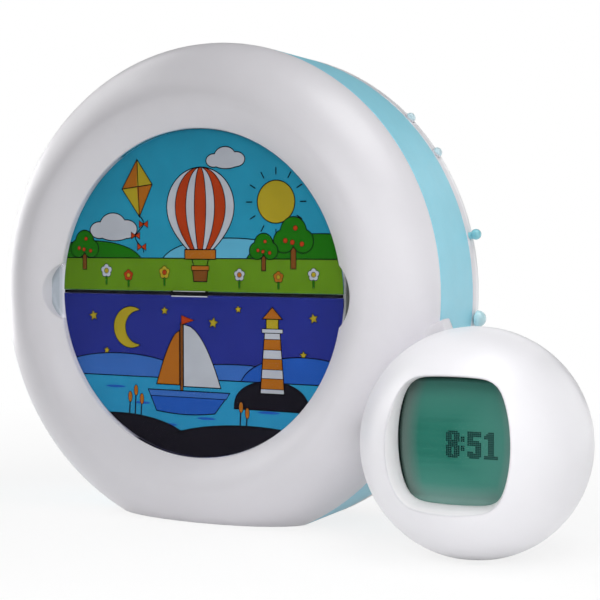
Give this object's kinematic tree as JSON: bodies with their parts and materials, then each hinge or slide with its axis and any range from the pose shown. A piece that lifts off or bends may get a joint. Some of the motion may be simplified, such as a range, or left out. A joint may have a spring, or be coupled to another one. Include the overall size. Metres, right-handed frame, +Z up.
{
  "type": "children's alarm clock with night light",
  "caption": "Drum-shaped children's night light with a two-part picture window, foot, rear buttons and a ball-shaped digital clock that swivels beside it.",
  "frame": {"origin": "on the standing surface, straight below the drum's axis, in the plane where the white bezel meets the blue band", "axes": "+X to the viewer's right, towards the ball; +Y backwards, away from the viewer; +Z up"},
  "size_m": [0.241, 0.0951, 0.1748],
  "materials": {
    "white_shell": "satin-gloss moulded ABS",
    "blue_band": "satin moulded ABS, light blue",
    "reflector_white": "matt white polystyrene",
    "clear_lens": "clear polished acrylic",
    "day_print": "printed translucent film",
    "night_print": "printed translucent film",
    "black_plastic": "matt black plastic",
    "lamp_resin": "clear epoxy lamp body",
    "circuit_board": "green solder resist on fibreglass",
    "blue_button": "glossy light-blue plastic",
    "pale_button": "glossy pale-blue plastic",
    "speaker_paper": "black pressed paper",
    "cell_wrap": "plain printed sleeve",
    "steel": "zinc-plated steel",
    "pad_rubber": "soft grey rubber",
    "cable_sheath": "grey PVC sheath",
    "display_clear": "clear polished acrylic",
    "lcd_green": "liquid-crystal cell over a green reflector"
  },
  "bodies": {
    "drum": {"front_bezel": "white_shell", "mid_band": "blue_band", "rear_cover": "white_shell", "cover_screws": "steel", "foot_pads": "pad_rubber", "day_picture": "day_print", "night_picture": "night_print", "divider_strip": "black_plastic", "light_box": "reflector_white", "light_box_screws": "steel", "led_board_day": "circuit_board", "led_board_night": "circuit_board", "day_leds": "lamp_resin", "night_leds": "lamp_resin", "main_board": "circuit_board", "board_parts": "black_plastic", "key_board": "circuit_board", "key_switches": "black_plastic", "speaker_frame": "steel", "speaker_cone": "speaker_paper", "speaker_magnet": "steel", "battery_cells": "cell_wrap", "battery_contacts": "steel", "battery_door": "white_shell", "battery_door_screw": "steel", "dc_jack": "black_plastic", "jack_nut": "steel", "neck_arm": "white_shell", "neck_arm_screws": "steel", "neck_cable": "cable_sheath"},
    "lens": {"picture_lens": "clear_lens"},
    "ball": {"ball_front_shell": "white_shell", "ball_rear_shell": "white_shell", "ball_screws": "steel", "pivot_post": "steel", "pivot_washers": "pad_rubber", "display_window": "display_clear", "lcd_panel": "lcd_green", "lcd_backlight": "reflector_white", "clock_board": "circuit_board", "clock_board_parts": "black_plastic"},
    "top_key": {"button_top": "white_shell"},
    "upper_key": {"button_upper": "white_shell"},
    "middle_key": {"button_middle": "blue_button"},
    "lower_key": {"button_lower": "pale_button"}
  },
  "joints": [
    {"name": "ball_swivel", "type": "hinge", "parent": "drum", "child": "ball", "pos_m": [0.11123, -0.0167, 0.0364], "axis": [0, 0, 1], "range_deg": [-20, 90]},
    {"name": "lens_pull", "type": "slide", "parent": "drum", "child": "lens", "axis": [0, -1, 0], "range_m": [0, 0.02]},
    {"name": "top_press", "type": "slide", "parent": "drum", "child": "top_key", "axis": [-0.712, 0, -0.7022], "range_m": [0, 0.0007], "stiffness_N_per_m": 400},
    {"name": "upper_press", "type": "slide", "parent": "drum", "child": "upper_key", "axis": [-0.8281, 0, -0.5606], "range_m": [0, 0.0007], "stiffness_N_per_m": 400},
    {"name": "middle_press", "type": "slide", "parent": "drum", "child": "middle_key", "axis": [-0.9732, 0, -0.23], "range_m": [0, 0.0007], "stiffness_N_per_m": 400},
    {"name": "lower_press", "type": "slide", "parent": "drum", "child": "lower_key", "axis": [-0.9954, 0, 0.0958], "range_m": [0, 0.0007], "stiffness_N_per_m": 400}
  ]
}
